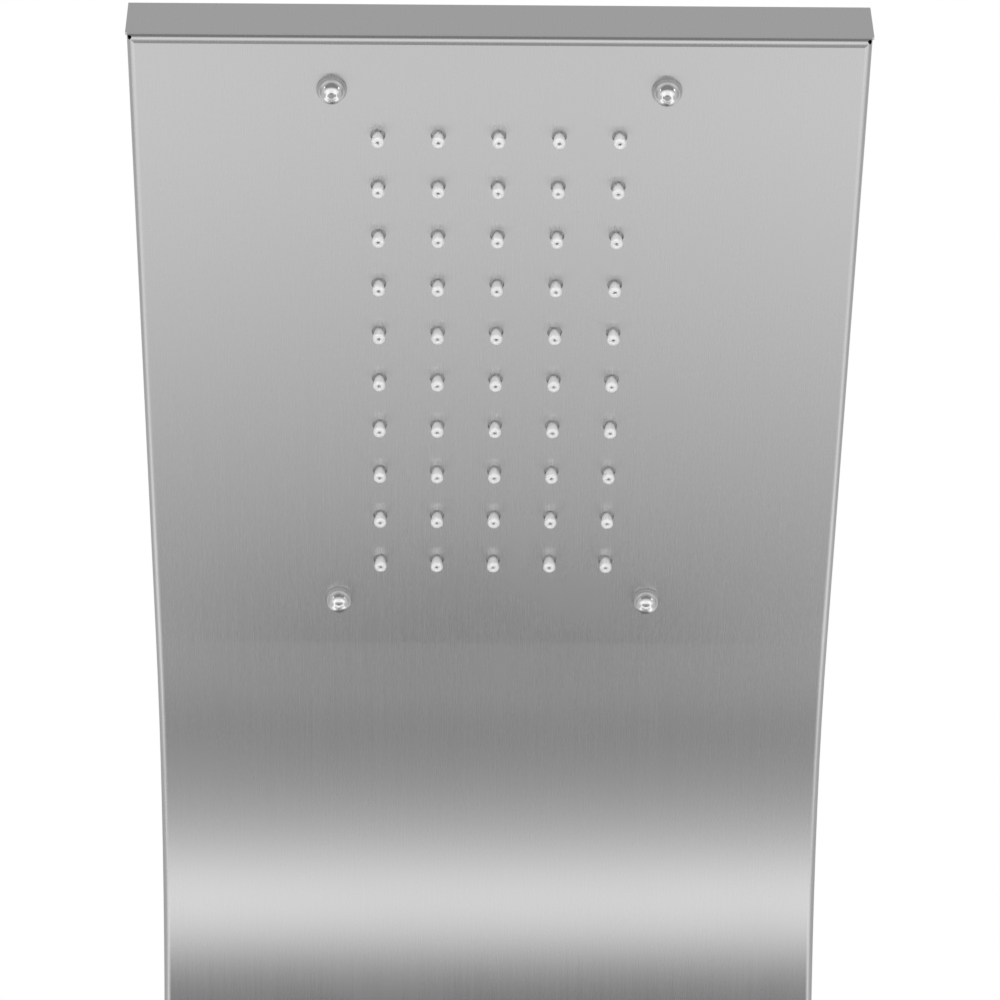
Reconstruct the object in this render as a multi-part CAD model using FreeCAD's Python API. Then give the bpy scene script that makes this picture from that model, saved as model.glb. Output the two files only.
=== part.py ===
"""Wall-hung shower panel column with an overhead rain head.

One folded stainless tray runs up the wall, bends forward in a long neck and ends in a flat rain
head that rises a little towards its front lip. Fifty silicone nubs stand through the head's face in
a square grid, and four domed cap nuts hold the spray chamber behind them. Down the column come three
swivelling body jets, a diverter knob, a single-lever mixer and an outlet elbow for a hand shower hose.
Two rails behind the panel hang on two wall brackets.

Frame: millimetres, +Z up, +X to the viewer's right, the wall is the plane y = 0 and the column stands
in front of it at negative y. The origin is on the wall, midway between the upper bracket's screws.
"""

import FreeCAD
import Part

import math
import os

# ---- the folded panel ----
panel_width = 243.0
sheet = 1.2
bend_radius = 2.6
column_height = 985.0
column_depth = 55.0
head_depth = 20.8
head_flat = 256.4
head_tilt = 15.0  # degrees that the head rises towards its lip
neck_radius = 289.0
neck_start = 70.0  # the neck starts this far above the upper wall screws
return_width = 12.0  # in-turned edge all round the open back
relief_radius = 0.7  # corner relief holes where the lip's bend meets the cheeks'
lip_overhang = 0.55  # each end of the lip stands this far past its cheek

# ---- cover over the back of the neck and head ----
cover_sheet = 1.0
cover_inset = 2.5
cover_start = 6.0  # degrees up the neck, where the back has left the wall
cover_screw_radius = 2.0
cover_screw_length = 6.0
cover_screws_a_side = 4

# ---- nozzle grid, nozzle mat and spray chamber ----
nozzle_pitch = 20.0
nozzle_columns = 5
nozzle_rows = 10
first_row = 37.7  # from the lip to the first row
nub_hole_radius = 2.5  # in the face, wide of the nub's neck
nub_neck = 1.65
nub_radius = 2.15
nub_length = 4.4
nub_bevel = 0.35  # round the tip
nub_bore = 0.6
mat_thickness = 2.0
mat_margin = 2.0  # the mat ends this far inside the chamber's flange
bolt_half_gauge = 55.0
bolts_ahead = 18.0  # from the front bolts to the first row
bolts_behind = 18.0  # from the last row to the rear bolts
bolt_radius = 2.5
bolt_edge = 10.0  # from a bolt to the flange's edge
bolt_head_flats = 8.0
bolt_head_height = 2.5
chamber_wall = 1.5
chamber_headroom = 0.6
chamber_margin = 6.0  # chamber wall to the outermost nozzles

# ---- domed cap nuts ----
cap_flange_radius = 5.0
cap_flange = 0.7
cap_radius = 4.3
cap_height = 5.9
cap_bore_depth = 3.9

# ---- water pipes ----
pipe_radius = 5.0
pipe_wall = 1.0
pipe_nut_flats = 14.0
pipe_nut_length = 16.0
rain_pipe_x = -38.0
rain_pipe_depth = 10.0  # pipe axis behind the visible face
clip_width = 10.0
clip_wall = 2.2

# ---- body jets ----
jet_count = 3
first_jet_drop = 110.0  # top jet below the upper wall screws
last_jet_rise = 120.0  # bottom jet above the diverter
ball_radius = 16.0
ball_gap = 0.3
ball_set_back = 2.0  # ball centre behind the visible face
ball_front = 12.0  # from the ball's centre to its flat spray face
ball_rear = 9.0
jet_body_radius = 20.0
jet_body_depth = 23.0
jet_ring_radius = 29.0
jet_ring_height = 4.0
jet_nut_thickness = 6.0
insert_radius = 9.0
insert_thickness = 3.0
insert_circle = 6.2  # radius of the ring of nubs on an insert
insert_nub_length = 1.8
manifold_gap = 3.0  # between the jets' housings and the pipe behind them
tee_boss = 1.5  # a tee's boss stands this far out round the pipe

# ---- valves ----
gasket = 1.5
neck_standout = 7.0  # threaded necks stand this far out of the panel
ring_nut_height = 4.5
ring_nut_width = 5.0
valve_end_gap = 10.0  # castings end this far from the wall
thread_radius = 10.48  # G1/2 male thread
thread_length = 14.0
stub_rise = 34.0  # pipe stubs end this far from a casting's axis

# ---- mixer ----
mixer_rise = 275.0  # from the panel's foot to the mixer's axis
mixer_body_radius = 23.0
mixer_neck_radius = 20.0
inlet_x = 40.0
inlet_arm_radius = 9.5
inlet_drop = 22.0  # from the casting's axis to where the inlet threads start
cartridge_radius = 17.5
cartridge_depth = 33.0  # behind the visible face
cartridge_front = 2.0
turret_radius = 11.0
pivot_out = 21.0  # lever pivot in front of the visible face
cover_ball_radius = 23.0
cover_wall = 2.7
cover_opening = 40.0  # degrees from the pivot's axis
stem_radius = 3.8
stem_tail = 8.0
pin_radius = 1.5
lever_wall = 3.6
lever_reach = 66.0  # degrees of the ball that the lever's cap covers
lever_nose = 34.0  # cap's flat nose from the pivot
lever_nose_radius = 10.0
lever_rod_radius = 5.5
lever_tip_radius = 4.2
lever_length = 88.0
lever_lean = 15.0  # degrees that the rod leans out from the wall
lever_skin = 2.0  # of the lever's nose in front of the stem
lever_screw_back = 5.0  # grub screw behind the lever's flat nose
mark_radius = 4.0
mark_rise = 0.6
mark_bevel = 0.4
mixer_trim_radius = 37.0
mixer_trim_height = 9.0

# ---- diverter ----
valve_pitch = 110.0  # from the mixer's axis up to the diverter's
diverter_body_radius = 17.0
diverter_neck_radius = 12.0
diverter_cartridge_radius = 9.5
diverter_arm_radius = 7.0
spindle_radius = 4.0
spindle_tail = 10.0
knob_radius = 20.0
knob_length = 21.0
knob_gap = 0.6
knob_pin_radius = 3.2
knob_pin_length = 20.0
diverter_trim_radius = 30.0
diverter_trim_height = 8.0
trim_wall = 1.5

# ---- hand shower outlet ----
outlet_inset = 41.5  # from the panel's edge to the outlet's axis
outlet_neck_radius = 10.0
elbow_radius = 12.5
elbow_out = 24.0
elbow_drop = 18.0
outlet_trim_radius = 24.0
outlet_trim_height = 5.0
outlet_trim_land = 2.0

# ---- hanging rails and wall brackets ----
lower_screw_rise = 110.0  # from the panel's foot to the lower bracket's screws
bracket_sheet = 3.0
bracket_width = 160.0
bracket_half_height = 20.0
bracket_screw_x = 60.0
bracket_screw_radius = 3.25
bracket_step = 4.0  # hook gap between the bracket's tongue and the wall plate
bracket_tongue = 17.0
rail_hang = 12.0  # length of the rail's hook behind the tongue
rail_reach = 15.0  # from the hook to the rail's front web
rail_skirt = 25.0
hook_play = 0.6  # between the rail's hook and the wall plate

# ---- fits ----
slide_fit = 0.05  # a piece in its own hole, same body
running_fit = 0.06  # a turning shaft in its bore
hole_play = 0.3  # a neck or body in its hole in the sheet
hole_clear = 0.2  # a bolt or neck in a hole it passes freely

# ---- worked out from the above ----
tilt = math.radians(head_tilt)
neck_turn = math.pi / 2 - tilt
foot_height = neck_start - column_height
mixer_height = foot_height + mixer_rise
diverter_height = mixer_height + valve_pitch
lower_screws = foot_height + lower_screw_rise
jet_pitch = (-first_jet_drop - diverter_height - last_jet_rise) / (jet_count - 1)
jet_heights = [-first_jet_drop - number * jet_pitch for number in range(jet_count)]
outlet_x = panel_width / 2 - outlet_inset
face_centre = (-column_depth - neck_radius, neck_start)
centre_shift = (column_depth - head_depth) / (1 - math.sin(tilt))
back_radius = column_depth + neck_radius - centre_shift
back_centre = (-back_radius, neck_start)
head_back = (math.cos(tilt), -math.sin(tilt))  # from the lip towards the neck, in y and z
head_up = (math.sin(tilt), math.cos(tilt))  # from the visible face into the head
lip_edge = (
    face_centre[0] + neck_radius * head_up[0] - head_flat * head_back[0],
    face_centre[1] + neck_radius * head_up[1] - head_flat * head_back[1],
)
last_row = first_row + (nozzle_rows - 1) * nozzle_pitch
front_bolts = first_row - bolts_ahead
rear_bolts = last_row + bolts_behind
nozzle_half_width = (nozzle_columns - 1) / 2 * nozzle_pitch
chamber_bottom = sheet + mat_thickness
chamber_top = head_depth - sheet - chamber_headroom
chamber_half_width = nozzle_half_width + chamber_margin
chamber_front = first_row - chamber_margin
chamber_rear = last_row + chamber_margin
stub_end = rear_bolts + bolt_edge + pipe_nut_length / 2
valve_rear = valve_end_gap - column_depth
valve_shoulder = -sheet - gasket
valve_axis = (valve_rear + valve_shoulder) / 2
jet_rear = -jet_body_depth
manifold_axis = jet_rear - pipe_radius - manifold_gap


def at(x, y, z):
    return FreeCAD.Vector(x, y, z)


# ---- drawing helpers ----
def flat_face(outline, to_space):
    """Face inside an outline. An entry (a, b) is reached by a line, (a, b, via_a, via_b) by an arc."""
    edges = []
    here = outline[0][:2]
    for entry in list(outline[1:]) + [outline[0][:2]]:
        target = entry[:2]
        if len(entry) == 4:
            arc = Part.Arc(to_space(*here), to_space(*entry[2:]), to_space(*target))
            edges.append(arc.toShape())
        else:
            edges.append(Part.makeLine(to_space(*here), to_space(*target)))
        here = target
    return Part.Face(Part.Wire(edges))


def slab(outline, width, middle=0.0):
    """Side-view outline in y and z, as wide as width along X."""
    face = flat_face(outline, lambda y, z: at(middle - width / 2, y, z))
    return face.extrude(at(width, 0, 0))


def turned(outline, base, direction):
    """Outline of (distance along the axis, radius) points, turned about that axis."""
    face = flat_face(outline, lambda along, radius: at(radius, 0, along))
    solid = face.revolve(at(0, 0, 0), at(0, 0, 1), 360)
    spin = FreeCAD.Rotation(at(0, 0, 1), direction)
    solid.Placement = FreeCAD.Placement(base, spin)
    return solid


def front_turned(outline, x, z):
    """Turned piece on the column's front. Distances are out from the visible face."""
    return turned(outline, at(x, -column_depth, z), at(0, -1, 0))


def on_front(x, out, z):
    """Point at a distance out from the column's visible face."""
    return at(x, -column_depth - out, z)


def rod(radius, start, end):
    run = end - start
    return Part.makeCylinder(radius, run.Length, start, run)


def ring_points(inner, outer, low, high):
    """Outline of a plain ring for turned()."""
    return [(low, inner), (low, outer), (high, outer), (high, inner)]


def crown(low, radius, high):
    """Outline entry for a dome centred on the axis, from (low, radius) up to the axis at high."""
    rise = high - low
    sphere = (rise**2 + radius**2) / (2 * rise)
    half_turn = math.atan2(radius, sphere - rise) / 2
    centre = high - sphere
    return high, 0, centre + sphere * math.cos(half_turn), sphere * math.sin(half_turn)


def hexagon(flats, length, start, direction):
    """Hexagonal bar. One flat faces the panel's face where the direction lies along it."""
    corners = []
    for step in range(6):
        angle = math.radians(60 * step)
        reach = flats / 2 / math.cos(math.pi / 6)
        corners.append((reach * math.cos(angle), reach * math.sin(angle)))
    face = flat_face(corners, lambda a, b: at(a, b, 0))
    bar = face.extrude(at(0, 0, length))
    bar.Placement = FreeCAD.Placement(start, FreeCAD.Rotation(at(0, 0, 1), direction))
    return bar


def fused(shapes):
    """Several shapes as one solid, without the seams between them."""
    return shapes[0].fuse(shapes[1:]).removeSplitter()


# ---- places on the panel ----
def side_line(centre, radius, end_inset):
    """A line that follows the panel in side view: foot, neck start, neck middle, neck end, lip."""

    def on_neck(angle):
        return (centre[0] + radius * math.cos(angle), centre[1] + radius * math.sin(angle))

    end = on_neck(neck_turn)
    along = sum((end[i] - lip_edge[i]) * head_back[i] for i in (0, 1)) - end_inset
    lip = (end[0] - along * head_back[0], end[1] - along * head_back[1])
    foot = (centre[0] + radius, foot_height + end_inset)
    return foot, on_neck(0), on_neck(neck_turn / 2), end, lip


def behind_face(depth, end_inset):
    return side_line(face_centre, neck_radius + depth, end_inset)


def before_back(depth, end_inset):
    return side_line(back_centre, back_radius - depth, end_inset)


def between(front, back):
    """Closed side-view outline between two such lines."""
    foot, start, middle, end, lip = front
    back_foot, back_start, back_middle, back_end, back_lip = back
    up = [foot, start, (*end, *middle), lip]
    down = [back_lip, back_end, (*back_start, *back_middle), back_foot]
    return up + down


def in_head(shape):
    """Moves a shape drawn as (x, distance back from the lip, depth behind the face) into the head."""
    corner = at(0, *lip_edge)
    place = FreeCAD.Placement(corner, FreeCAD.Rotation(at(1, 0, 0), -head_tilt))
    shape.Placement = place.multiply(shape.Placement)
    return shape


def nozzle_places():
    """(x, distance back from the lip) of every rain nozzle."""
    for row in range(nozzle_rows):
        for column in range(nozzle_columns):
            yield column * nozzle_pitch - nozzle_half_width, first_row + row * nozzle_pitch


def bolt_places():
    for x in (-bolt_half_gauge, bolt_half_gauge):
        for back in (front_bolts, rear_bolts):
            yield x, back


# ---- the folded panel and its cover ----
def rounded_at_face(block, radius, width, end_inset, depth):
    """Rounds the edges where a slab's face meets its cheeks, lip and foot."""
    lip = in_head_point(0, end_inset, depth)
    foot = at(0, depth - column_depth, foot_height + end_inset)
    chosen = []
    for edge in block.Edges:
        middle = edge.valueAt((edge.FirstParameter + edge.LastParameter) / 2)
        at_cheek = abs(abs(middle.x) - width / 2) < 0.01
        at_end = (middle - lip).Length < 0.01 or (middle - foot).Length < 0.01
        if at_end or (at_cheek and abs(depth_behind_face(middle) - depth) < 0.01):
            chosen.append(edge)
    return block.makeFillet(radius, chosen)


def in_head_point(x, back, depth):
    return at(
        x,
        lip_edge[0] + back * head_back[0] + depth * head_up[0],
        lip_edge[1] + back * head_back[1] + depth * head_up[1],
    )


def depth_behind_face(point):
    """How far a point lies behind the visible face, on the column, neck or head."""
    across = point.y - face_centre[0]
    rise = point.z - face_centre[1]
    if rise <= 0:
        return point.y + column_depth
    if math.atan2(rise, across) < neck_turn:
        return math.hypot(across, rise) - neck_radius
    return across * head_up[0] + rise * head_up[1] - neck_radius


def panel_holes():
    """Holes through the face for the nubs, bolts, jets and valves."""
    holes = []
    for x, back in nozzle_places():
        hole = Part.makeCylinder(nub_hole_radius, 3 * sheet, at(x, back, -sheet))
        holes.append(in_head(hole))
    for x, back in bolt_places():
        hole = Part.makeCylinder(bolt_radius + hole_clear, 3 * sheet, at(x, back, -sheet))
        holes.append(in_head(hole))
    fronts = [(0, height, jet_body_radius) for height in jet_heights]
    fronts.append((0, diverter_height, diverter_neck_radius))
    fronts.append((0, mixer_height, mixer_neck_radius))
    fronts.append((outlet_x, diverter_height, outlet_neck_radius))
    for x, z, radius in fronts:
        holes.append(rod(radius + hole_play, on_front(x, sheet, z), on_front(x, -2 * sheet, z)))
    return holes


def corner_reliefs():
    """Small holes where the lip's bend meets each cheek's bend."""
    reliefs = []
    for side in (-1, 1):
        corner = at(side * panel_width / 2, 0, 0)
        inward = at(-side, 1, 1)
        hole = Part.makeCylinder(relief_radius, 4 * bend_radius, corner, inward)
        reliefs.append(in_head(hole))
    return reliefs


def lip_plate():
    """Flat of the lip, a little longer than the panel is wide."""
    length = panel_width + 2 * lip_overhang
    height = head_depth - bend_radius
    return in_head(Part.makeBox(length, sheet, height, at(-length / 2, 0, bend_radius)))


def front_panel():
    """The folded tray: face, cheeks, lip, foot and the return all round its open back."""
    outer = slab(between(behind_face(0, 0), before_back(0, 0)), panel_width)
    outer = fused([rounded_at_face(outer, bend_radius, panel_width, 0, 0), lip_plate()])
    inner_width = panel_width - 2 * sheet
    inner = slab(between(behind_face(sheet, sheet), before_back(sheet, sheet)), inner_width)
    inner = rounded_at_face(inner, bend_radius - sheet, inner_width, sheet, sheet)
    window_lines = (before_back(2 * sheet, return_width), before_back(-sheet, return_width))
    window = slab(between(*window_lines), panel_width - 2 * return_width)
    return outer.cut([inner, window] + panel_holes() + corner_reliefs() + cover_screw_holes())


def cover_screw_places():
    """Point on the panel's back and outward direction of each cover screw."""
    inset = return_width / 2
    x = panel_width / 2 - inset
    first = math.radians(cover_start) + inset / back_radius
    head_end = back_centre[0] + back_radius * head_up[0], back_centre[1] + back_radius * head_up[1]
    head_run = sum((head_end[i] - lip_edge[i]) * head_back[i] for i in (0, 1))
    for step in range(cover_screws_a_side):
        share = step / (cover_screws_a_side - 1)
        travel = share * (back_radius * (neck_turn - first) + head_run - return_width)
        angle = min(first + travel / back_radius, neck_turn)
        beyond = max(0.0, travel - back_radius * (neck_turn - first))
        out = (math.cos(angle), math.sin(angle))
        y = back_centre[0] + back_radius * out[0] - beyond * head_back[0]
        z = back_centre[1] + back_radius * out[1] - beyond * head_back[1]
        for side in (-1, 1):
            yield at(side * x, y, z), at(0, *out)


def cover_screw_holes():
    holes = []
    for place, out in cover_screw_places():
        start = place - out * (3 * sheet)
        holes.append(Part.makeCylinder(cover_screw_radius + slide_fit, 6 * sheet, start, out))
    return holes


def head_cover():
    """Thin sheet over the back of the neck and head."""
    middle = (math.radians(cover_start) + neck_turn) / 2
    lines = []
    for radius in (back_radius, back_radius + cover_sheet):
        _, _, _, end, lip = side_line(back_centre, radius, cover_inset)
        low, centre = [
            (back_centre[0] + radius * math.cos(a), back_centre[1] + radius * math.sin(a))
            for a in (math.radians(cover_start), middle)
        ]
        lines.append((low, centre, end, lip))
    inside, outside = lines
    outline = [inside[0], (*inside[2], *inside[1]), inside[3]]
    outline += [outside[3], outside[2], (*outside[0], *outside[1])]
    cover = slab(outline, panel_width - 2 * cover_inset)
    return cover.cut(cover_screw_holes())


def cover_screws():
    """Pan-head screws through the cover into the returns."""
    head_radius = 1.75 * cover_screw_radius
    head_height = 1.1 * cover_screw_radius
    screws = []
    for place, out in cover_screw_places():
        outline = [
            (cover_sheet - cover_screw_length, 0),
            (cover_sheet - cover_screw_length, cover_screw_radius),
            (cover_sheet, cover_screw_radius),
            (cover_sheet, head_radius),
            crown(cover_sheet, head_radius, cover_sheet + head_height),
        ]
        screws.append(turned(outline, place, out))
    return screws


# ---- rain head ----
def nub(base_depth):
    """One silicone nub, drawn along Z with the visible face at zero: its tip is at -nub_length."""
    outline = [
        (base_depth, nub_neck),
        (0, nub_neck),
        (nub_bevel - nub_length, nub_radius),
        (-nub_length, nub_radius - nub_bevel),
        (-nub_length, nub_bore),
        (base_depth, nub_bore),
    ]
    return turned(outline, at(0, 0, 0), at(0, 0, 1))


def nozzle_mat():
    """Silicone mat behind the face, with the fifty nubs that stand out through it."""
    half_width = bolt_half_gauge + bolt_edge - mat_margin
    front = front_bolts - bolt_edge + mat_margin
    rear = rear_bolts + bolt_edge - mat_margin
    mat = Part.makeBox(2 * half_width, rear - front, mat_thickness, at(-half_width, front, sheet))
    holes = [
        Part.makeCylinder(bolt_radius + hole_clear, 3 * mat_thickness, at(x, back, 0))
        for x, back in bolt_places()
    ]
    holes += [
        Part.makeCylinder(nub_bore, 3 * mat_thickness, at(x, back, 0))
        for x, back in nozzle_places()
    ]
    pattern = nub(sheet)
    nubs = []
    for x, back in nozzle_places():
        copy = pattern.copy()
        copy.translate(at(x, back, 0))
        nubs.append(copy)
    return in_head(mat.cut(holes).fuse(nubs).removeSplitter())


def spray_chamber():
    """Shallow water box clamped on the mat, with the pipe stub at its rear."""
    flange_half = bolt_half_gauge + bolt_edge
    flange_front = front_bolts - bolt_edge
    flange_long = rear_bolts - front_bolts + 2 * bolt_edge
    flange_corner = at(-flange_half, flange_front, chamber_bottom)
    flange = Part.makeBox(2 * flange_half, flange_long, chamber_wall, flange_corner)
    height = chamber_top - chamber_bottom
    long = chamber_rear - chamber_front
    box = Part.makeBox(
        2 * (chamber_half_width + chamber_wall),
        long + 2 * chamber_wall,
        height,
        at(-chamber_half_width - chamber_wall, chamber_front - chamber_wall, chamber_bottom),
    )
    roof_edges = [e for e in box.Edges if e.BoundBox.ZMin > chamber_bottom + 0.01]
    box = box.makeFillet(2 * chamber_wall, roof_edges)
    cavity = Part.makeBox(
        2 * chamber_half_width,
        long,
        height - chamber_wall,
        at(-chamber_half_width, chamber_front, chamber_bottom),
    )
    stub_start = at(rain_pipe_x, chamber_rear, rain_pipe_depth)
    stub = rod(pipe_radius, stub_start, at(rain_pipe_x, stub_end, rain_pipe_depth))
    bore_start = at(rain_pipe_x, chamber_rear - chamber_wall, rain_pipe_depth)
    bore = rod(pipe_radius - pipe_wall, bore_start, at(rain_pipe_x, stub_end, rain_pipe_depth))
    holes = [
        Part.makeCylinder(bolt_radius + slide_fit, 3 * chamber_wall, at(x, back, chamber_bottom))
        for x, back in bolt_places()
    ]
    return in_head(fused([flange, box, stub]).cut([cavity, bore] + holes))


def chamber_bolts():
    """Hexagon bolts that pass down through flange, mat and face into the cap nuts."""
    seat = chamber_bottom + chamber_wall
    bolts = []
    for x, back in bolt_places():
        shank = Part.makeCylinder(bolt_radius, seat + cap_bore_depth, at(x, back, -cap_bore_depth))
        head = hexagon(bolt_head_flats, bolt_head_height, at(x, back, seat), at(0, 0, 1))
        bolts.append(in_head(shank.fuse(head).removeSplitter()))
    return bolts


def dome_nuts():
    """Domed cap nuts on the visible face."""
    shoulder = 0.3 * cap_height
    nuts = []
    for x, back in bolt_places():
        outline = [
            (cap_bore_depth, 0),
            (cap_bore_depth, bolt_radius + slide_fit),
            (0, bolt_radius + slide_fit),
            (0, cap_flange_radius),
            (cap_flange, cap_flange_radius),
            (cap_flange, cap_radius),
            (shoulder, cap_radius),
            crown(shoulder, cap_radius, cap_height),
        ]
        nuts.append(in_head(turned(outline, at(x, back, 0), at(0, 0, -1))))
    return nuts


# ---- pipes ----
def rain_pipe_route():
    """From the diverter's stub up the column, round the neck and along the head."""
    _, start, middle, end, _ = behind_face(rain_pipe_depth, 0)
    foot = at(rain_pipe_x, start[0], diverter_height + stub_rise)
    joints = [at(rain_pipe_x, *point) for point in (start, middle, end)]
    last = in_head_point(rain_pipe_x, stub_end, rain_pipe_depth)
    return [
        Part.makeLine(foot, joints[0]),
        Part.Arc(*joints).toShape(),
        Part.makeLine(joints[2], last),
    ]


def rain_pipe():
    """Long pipe from the diverter to the spray chamber."""
    route = rain_pipe_route()
    start = route[0].valueAt(route[0].FirstParameter)
    solids = []
    for radius in (pipe_radius, pipe_radius - pipe_wall):
        ring = Part.Wire(Part.makeCircle(radius, start, at(0, 0, 1)))
        solids.append(Part.Wire(route).makePipeShell([ring], True, False))
    outside, inside = solids
    return outside.cut(inside)


def pipe_nut(place, direction):
    """Union nut centred on a joint between two pipes."""
    direction = direction.normalize()
    start = place - direction * (pipe_nut_length / 2)
    nut = hexagon(pipe_nut_flats, pipe_nut_length, start, direction)
    bore = Part.makeCylinder(pipe_radius + slide_fit, pipe_nut_length, start, direction)
    return nut.cut(bore)


def pipe_nuts():
    """Union nuts: chamber stub, diverter stub, and both ends of the link pipe."""
    axis_y = on_front(0, valve_axis, 0).y
    rain_foot = rain_pipe_route()[0].valueAt(0)
    nuts = [in_head(pipe_nut(at(rain_pipe_x, stub_end, rain_pipe_depth), at(0, 1, 0)))]
    nuts.append(pipe_nut(rain_foot, at(0, 0, 1)))
    nuts.append(pipe_nut(at(0, axis_y, diverter_height - stub_rise), at(0, 0, 1)))
    nuts.append(pipe_nut(at(0, axis_y, mixer_height + stub_rise), at(0, 0, 1)))
    nuts.append(pipe_nut(on_front(0, manifold_axis, diverter_height + stub_rise), at(0, 0, 1)))
    return nuts


def pipe_clips():
    """Saddle clips that hold the rain pipe to the back of the face."""
    outer = pipe_radius + clip_wall
    clips = []
    for height in (neck_start / 2, (jet_heights[0] + jet_heights[1]) / 2):
        low = on_front(rain_pipe_x, -rain_pipe_depth, height - clip_width / 2)
        high = low + at(0, 0, clip_width)
        foot_corner = on_front(rain_pipe_x - outer, -sheet, height - clip_width / 2)
        foot_deep = rain_pipe_depth - sheet
        foot = Part.makeBox(2 * outer, foot_deep, clip_width, foot_corner)
        body = rod(outer, low, high).fuse(foot).removeSplitter()
        clips.append(body.cut(rod(pipe_radius + slide_fit, low, high)))
    return clips


def link_pipe():
    """Short pipe from the mixer up to the diverter."""
    y = on_front(0, valve_axis, 0).y
    low = at(0, y, mixer_height + stub_rise)
    high = at(0, y, diverter_height - stub_rise)
    return rod(pipe_radius, low, high).cut(rod(pipe_radius - pipe_wall, low, high))


def jet_manifold():
    """Pipe behind the jets with a tee to each, and a closed top."""
    bore = pipe_radius - pipe_wall
    boss = pipe_radius + tee_boss
    low = on_front(0, manifold_axis, diverter_height + stub_rise)
    high = on_front(0, manifold_axis, jet_heights[0] + 2 * boss)
    outside = [rod(pipe_radius, low, high)]
    inside = [rod(bore, low, high - at(0, 0, 2 * pipe_wall))]
    for height in jet_heights:
        axis = on_front(0, manifold_axis, height)
        outside.append(rod(boss, axis, on_front(0, jet_rear, height)))
        inside.append(rod(bore, axis, on_front(0, jet_rear, height)))
    return fused(outside).cut(inside)


# ---- body jets ----
def jet_housing(height):
    """Socket behind the panel that holds the ball's rear half."""
    cavity = ball_radius + ball_gap
    body = rod(jet_body_radius, on_front(0, jet_rear, height), on_front(0, 0, height))
    ball = Part.makeSphere(cavity, on_front(0, -ball_set_back, height))
    inlet = rod(pipe_radius - pipe_wall, on_front(0, jet_rear, height), on_front(0, 0, height))
    return body.cut([ball, inlet])


def jet_ring(height):
    """Chromed ring in front of the panel that keeps the ball in its socket."""
    edge = 0.6 * jet_ring_height
    outline = [
        (0, 0),
        (0, jet_ring_radius),
        (jet_ring_height - edge, jet_ring_radius),
        (
            jet_ring_height,
            jet_ring_radius - edge,
            jet_ring_height - edge * (1 - math.sqrt(0.5)),
            jet_ring_radius - edge * (1 - math.sqrt(0.5)),
        ),
        (jet_ring_height, 0),
    ]
    cavity = Part.makeSphere(ball_radius + ball_gap, on_front(0, -ball_set_back, height))
    return front_turned(outline, 0, height).cut(cavity)


def jet_ball(height):
    """Swivelling ball with a flat spray face, bored through for the water."""
    ball = Part.makeSphere(ball_radius, at(0, 0, 0))
    size = 4 * ball_radius
    front = Part.makeBox(size, size, size, at(-size / 2, -size / 2, ball_front))
    rear = Part.makeBox(size, size, size, at(-size / 2, -size / 2, -ball_rear - size))
    recess = Part.makeCylinder(
        insert_radius + slide_fit, size, at(0, 0, ball_front - insert_thickness)
    )
    bore = Part.makeCylinder(insert_radius / 2, 2 * size, at(0, 0, -size))
    shape = ball.cut([front, rear, recess, bore])
    place = on_front(0, -ball_set_back, height)
    shape.Placement = FreeCAD.Placement(place, FreeCAD.Rotation(at(0, 0, 1), at(0, -1, 0)))
    return shape


def jet_insert(height):
    """Silicone disc in the ball's face, with seven nubs."""
    disc = Part.makeCylinder(insert_radius, insert_thickness, at(0, 0, -insert_thickness))
    pattern = turned(
        [
            (0, nub_bore),
            (0, nub_neck),
            (insert_nub_length, 0.8 * nub_neck),
            (insert_nub_length, nub_bore),
        ],
        at(0, 0, 0),
        at(0, 0, 1),
    )
    places = [(0, 0)]
    for step in range(6):
        angle = math.radians(60 * step + 30)
        places.append((insert_circle * math.cos(angle), insert_circle * math.sin(angle)))
    nubs = []
    bores = []
    for x, y in places:
        copy = pattern.copy()
        copy.translate(at(x, y, 0))
        nubs.append(copy)
        bores.append(Part.makeCylinder(nub_bore, 2 * insert_thickness, at(x, y, -insert_thickness)))
    shape = disc.cut(bores).fuse(nubs).removeSplitter()
    place = on_front(0, ball_front - ball_set_back, height)
    shape.Placement = FreeCAD.Placement(place, FreeCAD.Rotation(at(0, 0, 1), at(0, -1, 0)))
    return shape


def gaskets():
    """Rubber washers between the back of the face and each jet nut, casting and outlet."""
    washers = []
    necks = [(0, height, jet_body_radius) for height in jet_heights]
    necks.append((0, diverter_height, diverter_neck_radius))
    necks.append((0, mixer_height, mixer_neck_radius))
    necks.append((outlet_x, diverter_height, outlet_neck_radius))
    for x, z, radius in necks:
        outline = ring_points(radius + hole_clear, radius + ring_nut_width, valve_shoulder, -sheet)
        washers.append(front_turned(outline, x, z))
    return washers


def jet_nuts():
    """Lock nuts on the jet housings, behind the panel."""
    outer = jet_body_radius + ring_nut_width
    outline = ring_points(
        jet_body_radius + slide_fit, outer, valve_shoulder - jet_nut_thickness, valve_shoulder
    )
    return [front_turned(outline, 0, height) for height in jet_heights]


# ---- valves ----
def ring_nuts():
    """Nuts on the necks of the mixer, diverter and outlet, in front of the panel."""
    nuts = []
    for x, z, radius in (
        (0, mixer_height, mixer_neck_radius),
        (0, diverter_height, diverter_neck_radius),
    ):
        outline = ring_points(radius + slide_fit, radius + ring_nut_width, 0, ring_nut_height)
        nuts.append(front_turned(outline, x, z))
    return nuts


def trim(radius, height, opening, x, z):
    """Hollow escutcheon dome that hides a ring nut."""
    width = radius - opening
    outline = [
        (0, radius),
        (0.3 * height, radius),
        (height, opening + 0.25 * width, 0.82 * height, opening + 0.75 * width),
        (height, opening),
        (height - trim_wall, opening),
        (height - trim_wall, opening + 0.25 * width),
        (0.45 * height, opening + 0.75 * width),
        (0, radius - 1.3 * trim_wall),
    ]
    return front_turned(outline, x, z)


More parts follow.
